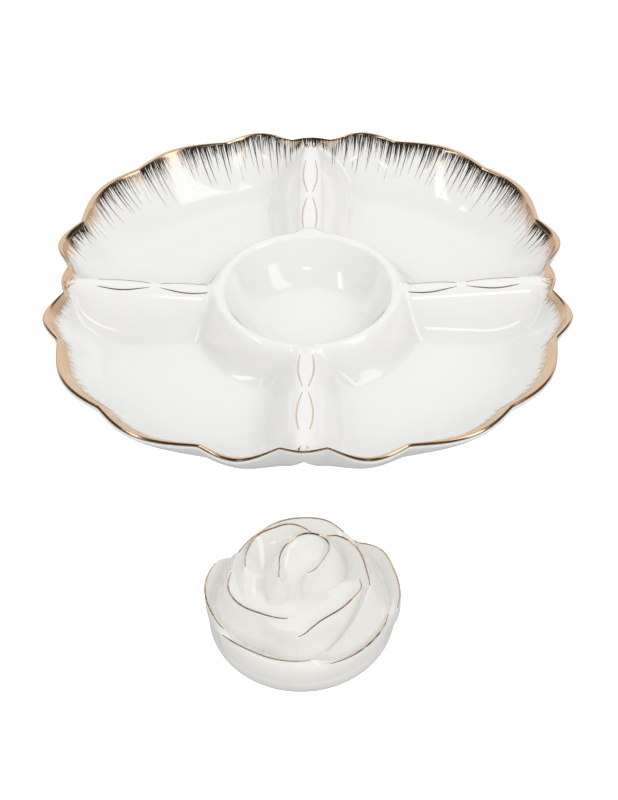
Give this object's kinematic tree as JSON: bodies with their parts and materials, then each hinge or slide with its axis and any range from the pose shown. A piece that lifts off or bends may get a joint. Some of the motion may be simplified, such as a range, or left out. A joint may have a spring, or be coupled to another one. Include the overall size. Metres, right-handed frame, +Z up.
{
  "type": "chip and dip server",
  "caption": "Scalloped ceramic serving tray with four compartments round a dip bowl, gilded rim, and a loose rose-shaped lid for the bowl.",
  "frame": {"origin": "centre of the tray's underside, on the table", "axes": "+Z up; +X to the right and +Y to the back, along the dividers; the lid stands in front of the tray along -Y"},
  "size_m": [0.3288, 0.459, 0.0487],
  "materials": {
    "tray_glaze": "glossy white glaze",
    "lid_glaze": "glossy warm white glaze",
    "gold_lustre": "bright fired gold"
  },
  "bodies": {
    "tray": {"tray": "tray_glaze", "rim_gilding": "gold_lustre", "divider_line_right_inner_a": "gold_lustre", "divider_line_right_inner_b": "gold_lustre", "divider_line_right_outer_a": "gold_lustre", "divider_line_right_outer_b": "gold_lustre", "divider_line_back_inner_a": "gold_lustre", "divider_line_back_inner_b": "gold_lustre", "divider_line_back_outer_a": "gold_lustre", "divider_line_back_outer_b": "gold_lustre", "divider_line_left_inner_a": "gold_lustre", "divider_line_left_inner_b": "gold_lustre", "divider_line_left_outer_a": "gold_lustre", "divider_line_left_outer_b": "gold_lustre", "divider_line_front_inner_a": "gold_lustre", "divider_line_front_inner_b": "gold_lustre", "divider_line_front_outer_a": "gold_lustre", "divider_line_front_outer_b": "gold_lustre"},
    "lid": {"rose_lid": "lid_glaze", "lid_line_outer_left": "gold_lustre", "lid_line_outer_front_left": "gold_lustre", "lid_line_outer_front_right": "gold_lustre", "lid_line_outer_right": "gold_lustre", "lid_line_middle_left": "gold_lustre", "lid_line_middle_right": "gold_lustre", "lid_line_back": "gold_lustre", "lid_line_inner_left": "gold_lustre", "lid_line_inner_right": "gold_lustre", "lid_line_bud": "gold_lustre"}
  },
  "joints": [
    {"name": "lid_lift", "type": "slide", "parent": "tray", "child": "lid", "axis": [0, 0, 1], "range_m": [0, 0.12]}
  ]
}
